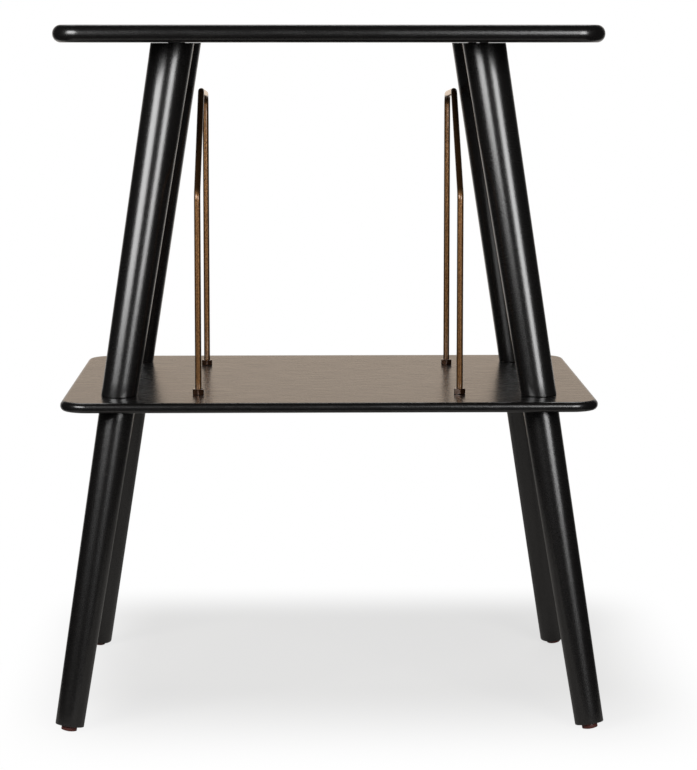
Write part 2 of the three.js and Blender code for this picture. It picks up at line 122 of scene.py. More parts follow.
class LegSizes(PropertyGroup):
    """The legs, their glides and the holes in their ends."""

    inset_x: length("Inset across", "Top board's side to a leg's axis, at the underside", 101 * MM)
    inset_y: length("Inset in depth", "Top board's front or back to a leg's axis", 100 * MM)
    splay_x: angle("Splay to the side", "Lean of a leg, seen from the front", 8.6)
    splay_y: angle("Splay to the front", "Lean of a leg, seen from the side", 8)
    top_diameter: length("Top diameter", "Diameter under the top board", 39 * MM)
    foot_diameter: length("Foot diameter", "Diameter at the lower end", 25.6 * MM)
    foot_round: length("Foot round", "Rounding of the lower end's edge", 0.8 * MM)
    end_round: length("End round", "Rounding where a leg meets a board", 0.5 * MM)
    glide_diameter: length("Glide diameter", "Diameter of the foot glide", 14 * MM)
    glide_thickness: length("Glide thickness", "Thickness of the glide at its middle", 5 * MM)
    glide_dome: length("Glide dome", "Radius of the glide's domed underside", 20 * MM)
    stud_diameter: length("Stud diameter", "Diameter of the studs between the pieces", 8 * MM)
    stud_grip: length("Stud grip", "Length of a stud inside the leg that carries it", 32 * MM)
    insert_diameter: length("Insert diameter", "Outer diameter of the threaded inserts", 12 * MM)
    insert_length: length("Insert length", "Length of the insert in an upper leg", 16 * MM)
    nail_diameter: length("Nail diameter", "Diameter of the glide's nail", 2.2 * MM)
    nail_grip: length("Nail grip", "Length of the nail inside the leg", 14 * MM)
    nail_head: length("Nail head", "Diameter of the nail's head", 4.2 * MM)
    nail_head_thickness: length("Nail head thickness", "Thickness of the nail's head", 0.9 * MM)
    nail_setback: length("Nail setback", "Glide's pole up to the nail's head", 0.7 * MM)


class DividerSizes(PropertyGroup):
    """The bent wire dividers, their nuts and washers."""

    rod_diameter: length("Rod diameter", "Diameter of the wire", DIVIDER_HIGH.x - DIVIDER_LOW.x)
    bend_radius: length("Bend radius", "Radius of each bend, on the wire's axis", 11 * MM)
    slant_rise: length("Slant rise", "Height of the sloping front stretch", 90 * MM)
    slant_run: length("Slant run", "Depth of the sloping front stretch", 104 * MM)
    rail_fall: length("Rail fall", "Drop of the top stretch towards its back end", 5 * MM)
    top_room: length("Top room", "Top board down to the wire's upper front corner", 45 * MM)
    end_chamfer: length("End chamfer", "Chamfer on the wire's threaded ends", 0.6 * MM)
    thread_pitch: length("Thread pitch", "Pitch of the thread on the wire's ends", 1 * MM)
    thread_depth: length("Thread depth", "Depth of that thread", 0.45 * MM)
    nut_flats: length("Nut across flats", "Width of a nut across its flats", 10 * MM)
    nut_height: length("Nut height", "Height of a nut", 5 * MM)
    washer_diameter: length("Washer diameter", "Outer diameter of a washer", 12 * MM)
    washer_thickness: length("Washer thickness", "Thickness of a washer", 1.2 * MM)


class FinishColours(PropertyGroup):
    """The colours of the finishes."""

    lacquer: colour("Lacquer", "Black lacquer on the boards and legs", "#0b0a0a")
    lacquer_worn: colour("Lacquer, thin", "Black lacquer where it lies thin on the grain", "#141211")
    brass: colour("Brass", "Antique brass where it is rubbed", "#956d44")
    brass_dark: colour("Brass, dark", "Antique brass where it is toned", "#5a3d27")
    brass_nut: colour("Brass, nuts", "Antique brass of the nuts and washers, unrubbed", "#4a3020")
    glide: colour("Glide", "Moulded plastic of the foot glides", "#5a2822")
    zinc: colour("Zinc", "Zinc plating of the hidden hardware", "#b4b8bb")
    floor: colour("Floor", "The studio floor round the stand", "#bfbcb8")


# --- Surfaces as whole arrays ---

# How finely the surfaces are divided: columns go round a piece, and rows and steps along it
WOOD_COLUMNS = 96
SIDE_ROWS = 24
HOLE_COLUMNS = 48
HARDWARE_COLUMNS = 96
ROD_COLUMNS = 32
ROUND_STEPS = 6
CORNER_STEPS = 16
EDGE_STEPS = 14
SHARP_ANGLE = math.radians(32)


def turn(columns):
    """Angles once round a circle, without the repeated last one."""
    return np.arange(columns) * (2 * math.pi / columns)


def ring_quads(rows, columns, looped=False):
    """Quads that join (row, column), (row, column + 1) and the two above them. The columns wrap."""
    column = np.arange(columns)
    beside = (column + 1) % columns
    row = np.arange(rows if looped else rows - 1)[:, None]
    here = row * columns
    above = (row + 1) % rows * columns
    quads = np.stack([here + column, here + beside, above + beside, above + column], -1)
    return quads.reshape(-1, 4).tolist()


def shell(rings, looped=False):
    """Points and faces of a closed surface from rings of shape (rows, columns, 3).

    With looped the last ring joins the first, like a torus. Otherwise each end is closed by a fan
    to the mean of its ring. Faces point outwards where the rings turn counter-clockwise round the
    direction in which their outer stretch climbs.
    """
    rows, columns = rings.shape[:2]
    points = rings.reshape(-1, 3)
    faces = ring_quads(rows, columns, looped)
    if looped:
        return points, faces
    column = np.arange(columns)
    beside = (column + 1) % columns
    first_pole = np.full(columns, len(points))
    last_row = (rows - 1) * columns
    faces += np.stack([first_pole, beside, column], -1).tolist()
    faces += np.stack([first_pole + 1, last_row + column, last_row + beside], -1).tolist()
    return np.vstack([points, rings[[0, -1]].mean(1)]), faces


def round_corner(corner, side_a, side_b, radius):
    """Rings that round an edge, from face a to face b.

    They are corner + radius ((1 - sin u) a + (1 - cos u) b) for u from 0 to 90 degrees, where
    corner holds the sharp edge's points, and a and b are the unit directions away from it along
    the two faces.
    """
    u = np.linspace(0, math.pi / 2, ROUND_STEPS + 1)[:, None, None]
    return corner + radius * ((1 - np.sin(u)) * side_a + (1 - np.cos(u)) * side_b)


def unit(vectors):
    """Vectors scaled to length one."""
    return vectors / np.linalg.norm(vectors, axis=-1, keepdims=True)


def add_piece(name, points, faces, material, replaces, grain=None):
    """Makes a smooth-shaded mesh object with sharp edges by angle, riding on the stand's one body."""
    mesh = bpy.data.meshes.new(name)
    mesh.from_pydata(np.asarray(points, float), [], faces)
    if grain is not None:
        layer = mesh.attributes.new("grain", "FLOAT_VECTOR", "POINT")
        layer.data.foreach_set("vector", np.asarray(grain, np.float32).ravel())
    mesh.shade_smooth()
    mesh.set_sharp_from_angle(angle=SHARP_ANGLE)
    mesh.update()
    if mesh.validate(verbose=False):
        raise RuntimeError(f"the mesh of {name} had faults")
    mesh.materials.append(material)
    piece = bpy.data.objects.new(name, mesh)
    bpy.context.scene.collection.objects.link(piece)
    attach(piece, BODY)
    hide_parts(replaces)


# --- The leg's own frame ---


class LegFrame:
    """A leg's axis and taper. Its origin is where the axis meets the top board's underside.

    across points away from the stand and slightly up, beside points round the stand, and up runs
    up the axis. Places on the axis are distances down from the origin.
    """

    def __init__(self, side_x, side_y, boards, legs):
        slope_x, slope_y = math.tan(legs.splay_x), math.tan(legs.splay_y)
        self.lean = math.atan(math.hypot(slope_x, slope_y))
        facing = math.atan2(side_y * slope_y, side_x * slope_x)
        outward = np.array([math.cos(facing), math.sin(facing), 0])
        level_up = np.array([0, 0, 1])
        self.sine, self.cosine = math.sin(self.lean), math.cos(self.lean)
        self.across = self.cosine * outward + self.sine * level_up
        self.beside = np.array([-math.sin(facing), math.cos(facing), 0])
        self.up = -self.sine * outward + self.cosine * level_up
        self.origin = np.array([
            side_x * (boards.top_width / 2 - legs.inset_x),
            side_y * (boards.top_depth / 2 - legs.inset_y),
            boards.top_underside,
        ])
        self.height = boards.top_underside
        self.to_dome_centre = (self.height - legs.glide_dome) / self.cosine
        self.to_pole = self.to_dome_centre + legs.glide_dome
        self.to_glide = self.to_pole - legs.glide_thickness
        self.length = self.to_glide - FIT_GAP
        self.top_radius = legs.top_diameter / 2
        self.taper = (legs.top_diameter - legs.foot_diameter) / 2 / self.length

    def ring(self, radius, down, columns):
        """Points origin + radius (cos u across + sin u beside) - down up, for u once round.

        radius and down are numbers, or arrays of shape (rows, columns) or (rows, 1).
        """
        u = turn(columns)
        radius = np.asarray(radius, float)[..., None] + np.zeros((columns, 1))
        down = np.asarray(down, float)[..., None] + np.zeros((columns, 1))
        radial = np.cos(u)[:, None] * self.across + np.sin(u)[:, None] * self.beside
        return self.origin + radius * radial - down * self.up

    def level_end(self, drop, columns):
        """Where the tapered side meets a level plane that far below the origin.

        A side point at u and distance t is radius(t) cos u sin(lean) - t cos(lean) above the
        origin. Setting that to -drop and solving for t gives
        t = (drop + r0 cos u sin(lean)) / (cos(lean) + taper cos u sin(lean)).
        """
        tilt = np.cos(turn(columns)) * self.sine
        down = (drop + self.top_radius * tilt) / (self.cosine + self.taper * tilt)
        return self.ring(self.top_radius - self.taper * down, down, columns)

    def level_bore(self, radius, drop, columns):
        """Where a bore of a fixed radius meets a level plane that far below the origin.

        A bore has no taper, so t = (drop + r cos u sin(lean)) / cos(lean).
        """
        down = (drop + radius * np.cos(turn(columns)) * self.sine) / self.cosine
        return self.ring(radius, down, columns)

    def local(self, points):
        """Points in the leg's own frame: across, beside and up."""
        return (points - self.origin) @ np.stack([self.across, self.beside, self.up], -1)


def stand_sizes():
    """The sizes of the boards, the legs and the dividers."""
    scene = bpy.context.scene
    return scene.stand_boards, scene.stand_legs, scene.stand_dividers


def leg_frames(boards, legs):
    """One leg frame for each corner of the stand, by name."""
    return {name: LegFrame(*sides, boards, legs) for name, sides in CORNERS.items()}


# --- Materials ---

SMOOTH = {"interpolation_type": "SMOOTHSTEP"}
FALLING = {"To Min": 1.0, "To Max": 0.0}
LACQUER_IOR = 1.55
LACQUER_GLOSS = 0.75  # 0.5 is one clean film; the clear coat over the black one adds a second reflection
RUBBED_ROUGHNESS = 0.18  # what rubbing down adds to the roughness of the top board's level faces
CLEAR_COAT = {"Coat Weight": 1.0, "Coat Roughness": 0.13, "Coat IOR": 1.5}  # on both brass finishes


def node(tree, kind, inputs=None, **settings):
    """Adds a shader node, sets its properties, and sets or links its inputs.

    inputs maps a socket's name or number to a value, a node or a node's output.
    """
    made = tree.nodes.new("ShaderNode" + kind)
    for name, value in settings.items():
        setattr(made, name, value)
    for socket, value in (inputs or {}).items():
        if isinstance(value, bpy.types.Node):
            value = value.outputs[0]
        if isinstance(value, bpy.types.NodeSocket):
            tree.links.new(value, made.inputs[socket])
        else:
            made.inputs[socket].default_value = value
    return made


def rgba(value):
    """A colour with full opacity."""
    return (*value, 1)


def spaced(tree, place, sizes_mm):
    """A place scaled so that one unit of a pattern spans the given sizes in millimetres."""
    per_metre = tuple(1 / (size * MM) for size in sizes_mm)
    return node(tree, "VectorMath", {0: place, 1: per_metre}, operation="MULTIPLY")


def grain_place(tree, *sizes_mm):
    """The wood's own grain attribute, spaced across, beside and along the grain."""
    grain = node(tree, "Attribute", attribute_name="grain")
    return spaced(tree, grain.outputs["Vector"], sizes_mm)


def object_place(tree, *sizes_mm):
    """Object coordinates, spaced along X, Y and Z."""
    return spaced(tree, node(tree, "TexCoord").outputs["Object"], sizes_mm)


def black_lacquer(tree, colours, wear, rough, bump):
    """Satin black lacquer, a little paler where the wear from 0 to 1 says that it lies thin."""
    tone = node(tree, "Mix", {"Factor": wear, "A": rgba(colours.lacquer), "B": rgba(colours.lacquer_worn)},
                data_type="RGBA")
    return node(tree, "BsdfPrincipled",
                {"Base Color": tone.outputs["Result"], "Roughness": rough, "IOR": LACQUER_IOR,
                 "Specular IOR Level": LACQUER_GLOSS, "Normal": bump})


def lacquered_turned_beech(tree, colours):
    """Turned beech under sprayed satin black lacquer.

    The matting agent and the fine open pores break a highlight into a mottled, speckled band that
    is drawn out along the leg. Pores of 0.3 by 4 mm would be too fine for the frame, so they are
    drawn 0.9 mm wide.
    """
    pores = node(tree, "TexNoise", {"Vector": grain_place(tree, 0.9, 0.9, 4), "Detail": 3.0})
    mottle = node(tree, "TexNoise", {"Vector": grain_place(tree, 5, 5, 26), "Detail": 2.0})
    wear = node(tree, "MapRange", {"Value": mottle, "From Min": 0.35, "From Max": 0.7}, **SMOOTH)
    rough = node(tree, "MapRange",
                 {"Value": pores, "From Min": 0.3, "From Max": 0.72, "To Min": 0.2, "To Max": 0.3},
                 **SMOOTH)
    bump = node(tree, "Bump", {"Height": pores, "Strength": 0.35, "Distance": 0.06 * MM})
    return black_lacquer(tree, colours, wear, rough, bump)


def lacquered_oak_veneer(tree, colours, rubbed=0.0):
    """Sliced oak veneer under satin black lacquer.

    Seen at a low angle the film mirrors the room softly, with faint long streaks, and with short
    dark dashes where the lacquer has sunk into an open pore. Pores of 0.3 mm would be too fine for
    the frame, so they are drawn 1.2 mm wide. rubbed is the roughness that rubbing down adds to the
    level faces. The rounded edges keep the full film, without pores or rubbing.
    """
    streaks = node(tree, "TexNoise", {"Vector": grain_place(tree, 1.6, 1.6, 45), "Detail": 3.0})
    figure = node(tree, "TexNoise", {"Vector": grain_place(tree, 14, 14, 160), "Detail": 2.0})
    dashes = node(tree, "TexNoise", {"Vector": grain_place(tree, 1.2, 1.2, 9), "Detail": 1.0})
    wear = node(tree, "MapRange", {"Value": streaks, "From Min": 0.4, "From Max": 0.75}, **SMOOTH)
    both = node(tree, "Math", {0: streaks, 1: figure}, operation="ADD")
    film = node(tree, "MapRange",
                {"Value": both, "From Min": 0.75, "From Max": 1.25, "To Min": 0.24, "To Max": 0.29},
                **SMOOTH)
    pores = node(tree, "MapRange",
                 {"Value": dashes, "From Min": 0.68, "From Max": 0.74, "To Max": 0.16}, **SMOOTH)
    worked = node(tree, "Math", {0: pores, 1: rubbed}, operation="ADD")
    normal = node(tree, "SeparateXYZ", {0: node(tree, "NewGeometry").outputs["Normal"]})
    upright = node(tree, "Math", {0: normal.outputs["Z"]}, operation="ABSOLUTE")
    level = node(tree, "MapRange", {"Value": upright, "From Min": 0.85}, **SMOOTH)
    on_face = node(tree, "Math", {0: level, 1: worked}, operation="MULTIPLY")
    rough = node(tree, "Math", {0: film, 1: on_face}, operation="ADD")
    bump = node(tree, "Bump", {"Height": streaks, "Strength": 0.08, "Distance": 0.04 * MM})
    return black_lacquer(tree, colours, wear, rough, bump)


def rubbed_oak_veneer(tree, colours):
    """The same veneer with its lacquer rubbed down to a matt face, as a surface that things stand on."""
    return lacquered_oak_veneer(tree, colours, RUBBED_ROUGHNESS)


def toned_brass(tree, clouds, turning, dark, pale, roughness):
    """Toned brass plate under clear lacquer. Its clouds run from the dark, rough tone to the pale one."""
    cloudy = node(tree, "MapRange",
                  {"Value": clouds, "From Min": turning[0], "From Max": turning[1]}, **SMOOTH)
    tone = node(tree, "Mix", {"Factor": cloudy, "A": rgba(dark), "B": rgba(pale)}, data_type="RGBA")
    rough = node(tree, "MapRange",
                 {"Value": clouds, "From Min": 0.3, "From Max": 0.7,
                  "To Min": roughness[0], "To Max": roughness[1]}, **SMOOTH)
    return node(tree, "BsdfPrincipled",
                {"Base Color": tone.outputs["Result"], "Metallic": 1.0, "Roughness": rough, **CLEAR_COAT})


def antique_brass_plate(tree, colours):
    """Brass plate toned brown by an antiquing bath, rubbed back and clear lacquered.

    The rubbed metal glows warm where it faces a light and the toned film stays brown, in faint
    cloudy patches a few millimetres long. The clear lacquer adds a thin, paler highlight.
    """
    clouds = node(tree, "TexNoise", {"Vector": object_place(tree, 3, 3, 9), "Detail": 4.0})
    return toned_brass(tree, clouds, (0.3, 0.7), colours.brass_dark, colours.brass, (0.52, 0.42))


def unrubbed_brass_plate(tree, colours):
    """Brass plate toned in the same bath and clear lacquered, but not rubbed back.

    It stays a dark, even brown, and the lacquer gives its edges and its upper rim a small gleam.
    """
    clouds = node(tree, "TexNoise", {"Vector": object_place(tree, 2, 2, 2), "Detail": 3.0})
    return toned_brass(tree, clouds, (0.45, 0.75), colours.brass_nut, colours.brass_dark, (0.4, 0.3))


def moulded_nylon(tree, colours):
    """Injection-moulded nylon with the fine matt skin that a spark-eroded mould leaves."""
    skin = node(tree, "TexNoise", {"Vector": object_place(tree, 0.6, 0.6, 0.6), "Detail": 2.0})
    rough = node(tree, "MapRange",
                 {"Value": skin, "From Min": 0.3, "From Max": 0.7, "To Min": 0.4, "To Max": 0.55},
                 **SMOOTH)
    bump = node(tree, "Bump", {"Height": skin, "Strength": 0.2, "Distance": 0.03 * MM})
    return node(tree, "BsdfPrincipled",
                {"Base Color": rgba(colours.glide), "Roughness": rough, "IOR": 1.53, "Normal": bump})


def zinc_plated_steel(tree, colours):
    """Zinc electroplate on turned steel, with faint turning marks a few tenths apart."""
    marks = node(tree, "TexNoise", {"Vector": object_place(tree, 4, 4, 0.3), "Detail": 2.0})
    rough = node(tree, "MapRange",
                 {"Value": marks, "From Min": 0.3, "From Max": 0.7, "To Min": 0.3, "To Max": 0.45},
                 **SMOOTH)
    return node(tree, "BsdfPrincipled",
                {"Base Color": rgba(colours.zinc), "Metallic": 1.0, "Roughness": rough})


def finish_of(make):
    """The material whose surface a function makes from the colours, made once and then shared."""
    material = bpy.data.materials.get(make.__name__)
    if material is None:
        material = bpy.data.materials.new(make.__name__)
        material.use_nodes = True
        tree = material.node_tree
        tree.nodes.clear()
        surface = make(tree, bpy.context.scene.stand_colours)
        node(tree, "OutputMaterial", {"Surface": surface})
    return material


# --- Boards ---

FACE_BORDER = 0.8 * MM  # ring of flat face beside the edge, which keeps the face's shading level
FACES_WITHOUT_HOLES = 5  # the fill's kind of result: sound faces, none of them in a hole
MERGE_DISTANCE = 1e-7  # metres

# Metres by which each board's grain pattern is moved, so that the two boards differ
BOARD_GRAIN_SHIFT = {"top_board": (0, 0, 0.7), "shelf": (0.3, 0, 2.1)}


def board_outline(width, depth, radius, inset):
    """A rounded rectangle moved in by inset, turning counter-clockwise.

    Each corner is an arc of radius - inset round its own centre, and the straight sides run
    between the arcs. inset has the shape (rows, 1), and the result (rows, columns, 2).
    """
    quarter = np.repeat(np.arange(4), CORNER_STEPS + 1)
    turned = (quarter + np.tile(np.arange(CORNER_STEPS + 1), 4) / CORNER_STEPS) * (math.pi / 2)
    middle = (quarter + 0.5) * (math.pi / 2)
    centre = np.stack([np.sign(np.cos(middle)) * (width / 2 - radius),
                       np.sign(np.sin(middle)) * (depth / 2 - radius)], -1)
    direction = np.stack([np.cos(turned), np.sin(turned)], -1)
    return centre + (radius - inset)[..., None] * direction


def board_edge(width, depth, thickness, radius, flat, low):
    """Rings from the lower face's border round the edge to the upper face's border.

    The edge is two quarter circles with a narrow flat between them: at angle u from level the
    outline moves in by e (1 - cos u) and the height is the middle plus or minus flat / 2 + e sin u.
    """
    edge = (thickness - flat) / 2
    quarter = np.linspace(-math.pi / 2, 0, EDGE_STEPS + 1)
    u = np.concatenate([quarter, -quarter[::-1]])
    side = np.repeat([-1, 1], EDGE_STEPS + 1)
    inset = edge * (1 - np.cos(u))
    height = low + thickness / 2 + side * flat / 2 + edge * np.sin(u)
    inset = np.concatenate([[edge + FACE_BORDER], inset, [edge + FACE_BORDER]])[:, None]
    height = np.concatenate([[low], height, [low + thickness]])[:, None]
    plan = board_outline(width, depth, radius, inset)
    return np.concatenate([plan, np.broadcast_to(height, plan.shape[:2])[..., None]], -1)


def filled_face(points, loops, upward):
    """Faces that fill a level outline with holes, as a triangulation constrained to their edges.

    loops lists the numbers of each loop's points, the outline first.
    """
    order = np.concatenate(loops)
    flat = [Vector(place) for place in points[order, :2]]
    starts = np.cumsum([0] + [len(loop) for loop in loops])
    edges = []
    for start, end in zip(starts[:-1], starts[1:]):
        ring = np.arange(start, end)
        edges += np.stack([ring, np.roll(ring, -1)], -1).tolist()
    outline = list(range(starts[1]))
    holes = [list(range(start, end)) for start, end in zip(starts[1:-1], starts[2:])]
    places, _, rings, _, _, sources = delaunay_2d_cdt(
        flat, edges, [outline, *holes], FACES_WITHOUT_HOLES, MERGE_DISTANCE)
    if len(places) != len(order):
        raise RuntimeError("a board's holes cross its outline or each other")
    wood = [ring for ring, source in zip(rings, sources) if source == [0]]
    return [order[ring if upward else ring[::-1]].tolist() for ring in wood]


def board_mesh(width, depth, thickness, radius, flat, low, holes):
    """A board with its holes. Each is its rim on the lower face, its far end and whether it is blind.

    A hole's wall joins its rim to its far end. That end is a rim on the upper face, or the floor
    of a blind hole, which a fan closes.
    """
    rings = board_edge(width, depth, thickness, radius, flat, low)
    rows, columns = rings.shape[:2]
    points = [rings.reshape(-1, 3)]
    faces = ring_quads(rows, columns)
    count = rows * columns
    lower, upper = [np.arange(columns)], [np.arange(count - columns, count)]
    for mouth, far_end, blind in holes:
        around = len(mouth)
        mouth_at = np.arange(around) + count
        far_at = mouth_at + around
        points += [mouth, far_end]
        count += 2 * around
        faces += np.stack([np.roll(mouth_at, -1), mouth_at, far_at, np.roll(far_at, -1)], -1).tolist()
        lower.append(mouth_at)
        if blind:
            points.append(far_end.mean(0)[None])
            faces += np.stack([np.full(around, count), np.roll(far_at, -1), far_at], -1).tolist()
            count += 1
        else:
            upper.append(far_at)
    points = np.concatenate(points)
    faces += filled_face(points, lower, upward=False)
    faces += filled_face(points, upper, upward=True)
    return points, faces


def board_grain(points, shift):
    """Grain coordinates of a board: across its depth, through it, and along its width."""
    return points[:, [1, 2, 0]] + np.array(shift)


def top_board_holes(frames, boards, legs):
    """Blind holes for the threaded inserts, along each leg's axis from the underside."""
    radius = legs.insert_diameter / 2 + FIT_GAP
    holes = []
    for leg in frames.values():
        room = boards.top_thickness - boards.top_skin - radius * leg.sine
        mouth = leg.level_bore(radius, 0, HOLE_COLUMNS)
        floor = leg.ring(radius, -room / leg.cosine, HOLE_COLUMNS)
        holes.append((mouth, floor, True))
    return holes


def shelf_holes(frames, boards, legs, dividers):
    """Through holes for the studs along each leg's axis, and upright ones for the wire posts."""
    radius = legs.stud_diameter / 2 + FIT_GAP
    low = boards.shelf_height - boards.shelf_thickness
    holes = []
    for leg in frames.values():
        mouth = leg.level_bore(radius, leg.height - low, HOLE_COLUMNS)
        far_end = leg.level_bore(radius, leg.height - boards.shelf_height, HOLE_COLUMNS)
        holes.append((mouth, far_end, False))
    u = turn(HOLE_COLUMNS)
    circle = (dividers.rod_diameter / 2 + FIT_GAP) * np.stack([np.cos(u), np.sin(u), 0 * u], -1)
    for x, y in post_places():
        holes.append((circle + [x, y, low], circle + [x, y, boards.shelf_height], False))
    return holes


class STAND_OT_boards(Operator):
    """Builds the top board and the shelf"""

    bl_idname = "stand.boards"
    bl_label = "Boards"

    def execute(self, context):
        boards, legs, dividers = stand_sizes()
        frames = leg_frames(boards, legs)
        plans = {
            "top_board": (boards.top_width, boards.top_depth, boards.top_thickness,
                          boards.top_underside, top_board_holes(frames, boards, legs),
                          rubbed_oak_veneer),
            "shelf": (boards.shelf_width, boards.shelf_depth, boards.shelf_thickness,
                      boards.shelf_height - boards.shelf_thickness,
                      shelf_holes(frames, boards, legs, dividers), lacquered_oak_veneer),
        }
        for name, (width, depth, thickness, low, holes, finish) in plans.items():
            points, faces = board_mesh(
                width, depth, thickness, boards.corner_radius, boards.edge_flat, low, holes)
            add_piece(f"{name}_lacquered", points, faces, finish_of(finish),
                      name, board_grain(points, BOARD_GRAIN_SHIFT[name]))
        return {"FINISHED"}


# --- Legs ---

# Metres by which the grain pattern moves from one leg to the next, so that no two legs share it
LEG_GRAIN_STEP = np.array([0.11, 0.07, 0])


def side_rings(low_ring, high_ring):
    """Rings evenly spaced between two rings, without the two themselves."""
    share = np.linspace(0, 1, SIDE_ROWS + 1)[1:-1, None, None]
    return low_ring + (high_ring - low_ring) * share


def mitred_end(leg, drop, bore_radius, upper, round_radius):
    """Rings from the side round the edge to the bore's mouth, where a level plane cuts the leg.

    On an upper end they climb from the side to the mouth. On a lower end they are turned over, so
    that they start at the mouth. A second cut, a millimetre along, gives the side's direction.
    """
    rim = leg.level_end(drop, WOOD_COLUMNS)
    mouth = leg.level_bore(bore_radius, drop, WOOD_COLUMNS)
    farther = leg.level_end(drop + (MM if upper else -MM), WOOD_COLUMNS)
    rounded = round_corner(rim, unit(farther - rim), unit(mouth - rim), round_radius)
    rings = np.concatenate([rounded, mouth[None]])
    return rings if upper else rings[::-1]


def upper_leg_rings(leg, boards, legs):
    """The insert's bore, the mitred lower end, the side, the mitred upper end and the stud's bore."""
    bay = boards.top_underside - boards.shelf_height
    to_shelf = bay / leg.cosine
    insert_radius = legs.insert_diameter / 2 + FIT_GAP
    setback = legs.insert_diameter / 2 * math.tan(leg.lean) + 2 * FIT_GAP
    insert_end = to_shelf - setback - legs.insert_length - FIT_GAP
    low = mitred_end(leg, bay - FIT_GAP, insert_radius, False, legs.end_round)
    stud_radius = legs.stud_diameter / 2 + FIT_GAP
    high = mitred_end(leg, FIT_GAP, stud_radius, True, legs.end_round)
    return np.concatenate([
        leg.ring(insert_radius, insert_end, WOOD_COLUMNS)[None],
        low,
        side_rings(low[-1], high[0]),
        high,
        leg.ring(stud_radius, legs.stud_grip + FIT_GAP, WOOD_COLUMNS)[None],
    ])


def lower_leg_rings(leg, boards, legs):
    """The nail's bore, the square foot end, the side, the mitred upper end and the stud's bore."""
    nail_radius = legs.nail_diameter / 2 + FIT_GAP
    nail_end = leg.length - legs.nail_grip - FIT_GAP
    foot_rim = leg.ring(legs.foot_diameter / 2, leg.length, WOOD_COLUMNS)
    foot_centre = leg.ring(0, leg.length, WOOD_COLUMNS)
    foot = round_corner(foot_rim, unit(foot_centre - foot_rim), leg.up, legs.foot_round)
    drop = boards.top_underside - boards.shelf_height + boards.shelf_thickness
    stud_radius = legs.stud_diameter / 2 + FIT_GAP
    high = mitred_end(leg, drop + FIT_GAP, stud_radius, True, legs.end_round)
    stud_end = drop / leg.cosine + legs.stud_grip + FIT_GAP
    return np.concatenate([
        leg.ring(nail_radius, nail_end, WOOD_COLUMNS)[None],
        leg.ring(nail_radius, leg.length, WOOD_COLUMNS)[None],
        foot,
        side_rings(foot[-1], high[0]),
        high,
        leg.ring(stud_radius, stud_end, WOOD_COLUMNS)[None],
    ])


class STAND_OT_legs(Operator):
    """Builds the four upper and four lower legs"""

    bl_idname = "stand.legs"
    bl_label = "Legs"

    def execute(self, context):
        boards, legs, _ = stand_sizes()
        for number, (corner, leg) in enumerate(leg_frames(boards, legs).items()):
            for part, rings in (("upper_leg", upper_leg_rings(leg, boards, legs)),
                                ("lower_leg", lower_leg_rings(leg, boards, legs))):
                points, faces = shell(rings)
                grain = leg.local(points) + number * LEG_GRAIN_STEP
                add_piece(f"{part}_{corner}_lacquered", points, faces, finish_of(lacquered_turned_beech),
                          f"{part}_{corner}", grain)
        return {"FINISHED"}


# --- Foot glides ---

GLIDE_ROUND = 0.35 * MM  # rounding of the glide's rim
ROUND_WAIST = 0.3 * GLIDE_ROUND  # how far the middle of that rounding lies inside the sharp edge
DOME_STEPS = 12


def glide_rings(leg, legs):
    """A turned ring: the counterbore's wall, the dome, the rim, the level top and the nail hole.

    A dome point at angle u from the pole is R sin u from the axis and R cos u below the dome's
    centre.
    """
    rim_radius = legs.glide_diameter / 2
    bore = legs.nail_diameter / 2 + FIT_GAP
    counterbore = legs.nail_head / 2 + FIT_GAP
    seat = leg.to_pole - legs.nail_setback - legs.nail_head_thickness - FIT_GAP
    dome = legs.glide_dome
    rim_angle = math.asin(rim_radius / dome)
    u = np.linspace(math.asin(counterbore / dome), rim_angle - GLIDE_ROUND / dome, DOME_STEPS)
    rim = leg.to_dome_centre + dome * math.cos(rim_angle)
    top = leg.to_glide
    edge = np.array([
        [rim_radius - ROUND_WAIST, rim - ROUND_WAIST],
        [rim_radius, rim - GLIDE_ROUND],
        [rim_radius, top + GLIDE_ROUND],
        [rim_radius - ROUND_WAIST, top + ROUND_WAIST],
        [rim_radius - GLIDE_ROUND, top],
        [bore, top],
        [bore, seat],
    ])
    radius = np.concatenate([[counterbore], dome * np.sin(u), edge[:, 0]])
    down = np.concatenate([[seat], leg.to_dome_centre + dome * np.cos(u), edge[:, 1]])
    return leg.ring(radius[:, None], down[:, None], WOOD_COLUMNS)


class STAND_OT_glides(Operator):
    """Builds the four foot glides"""

    bl_idname = "stand.glides"
    bl_label = "Foot glides"

    def execute(self, context):
        boards, legs, _ = stand_sizes()
        for corner, leg in leg_frames(boards, legs).items():
            points, faces = shell(glide_rings(leg, legs), looped=True)
            add_piece(f"foot_glide_{corner}_moulded", points, faces, finish_of(moulded_nylon),
                      f"foot_glide_{corner}")
        return {"FINISHED"}


# --- Wire dividers ---

THREAD_STEPS_PER_TURN = 8
ROD_STEP = 6 * MM
BEND_STEP = math.radians(4)


def middle_of(node_name):
    """The middle of a CAD node's box."""
    low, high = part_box(node_name)
    return (low + high) / 2


def post_places():
    """The x and y of each wire post, from the nuts that stand round them."""
    nuts = sorted(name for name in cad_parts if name.startswith("divider_nut_"))
    return [tuple(middle_of(name).xy) for name in nuts]


def straight(start, end, spacing):
    """Points and headings on a straight run, without its last point."""
    span = end - start
    steps = max(1, round(np.linalg.norm(span) / spacing))
    share = np.arange(steps)[:, None] / steps
    return start + span * share, np.broadcast_to(unit(span), (steps, 2))


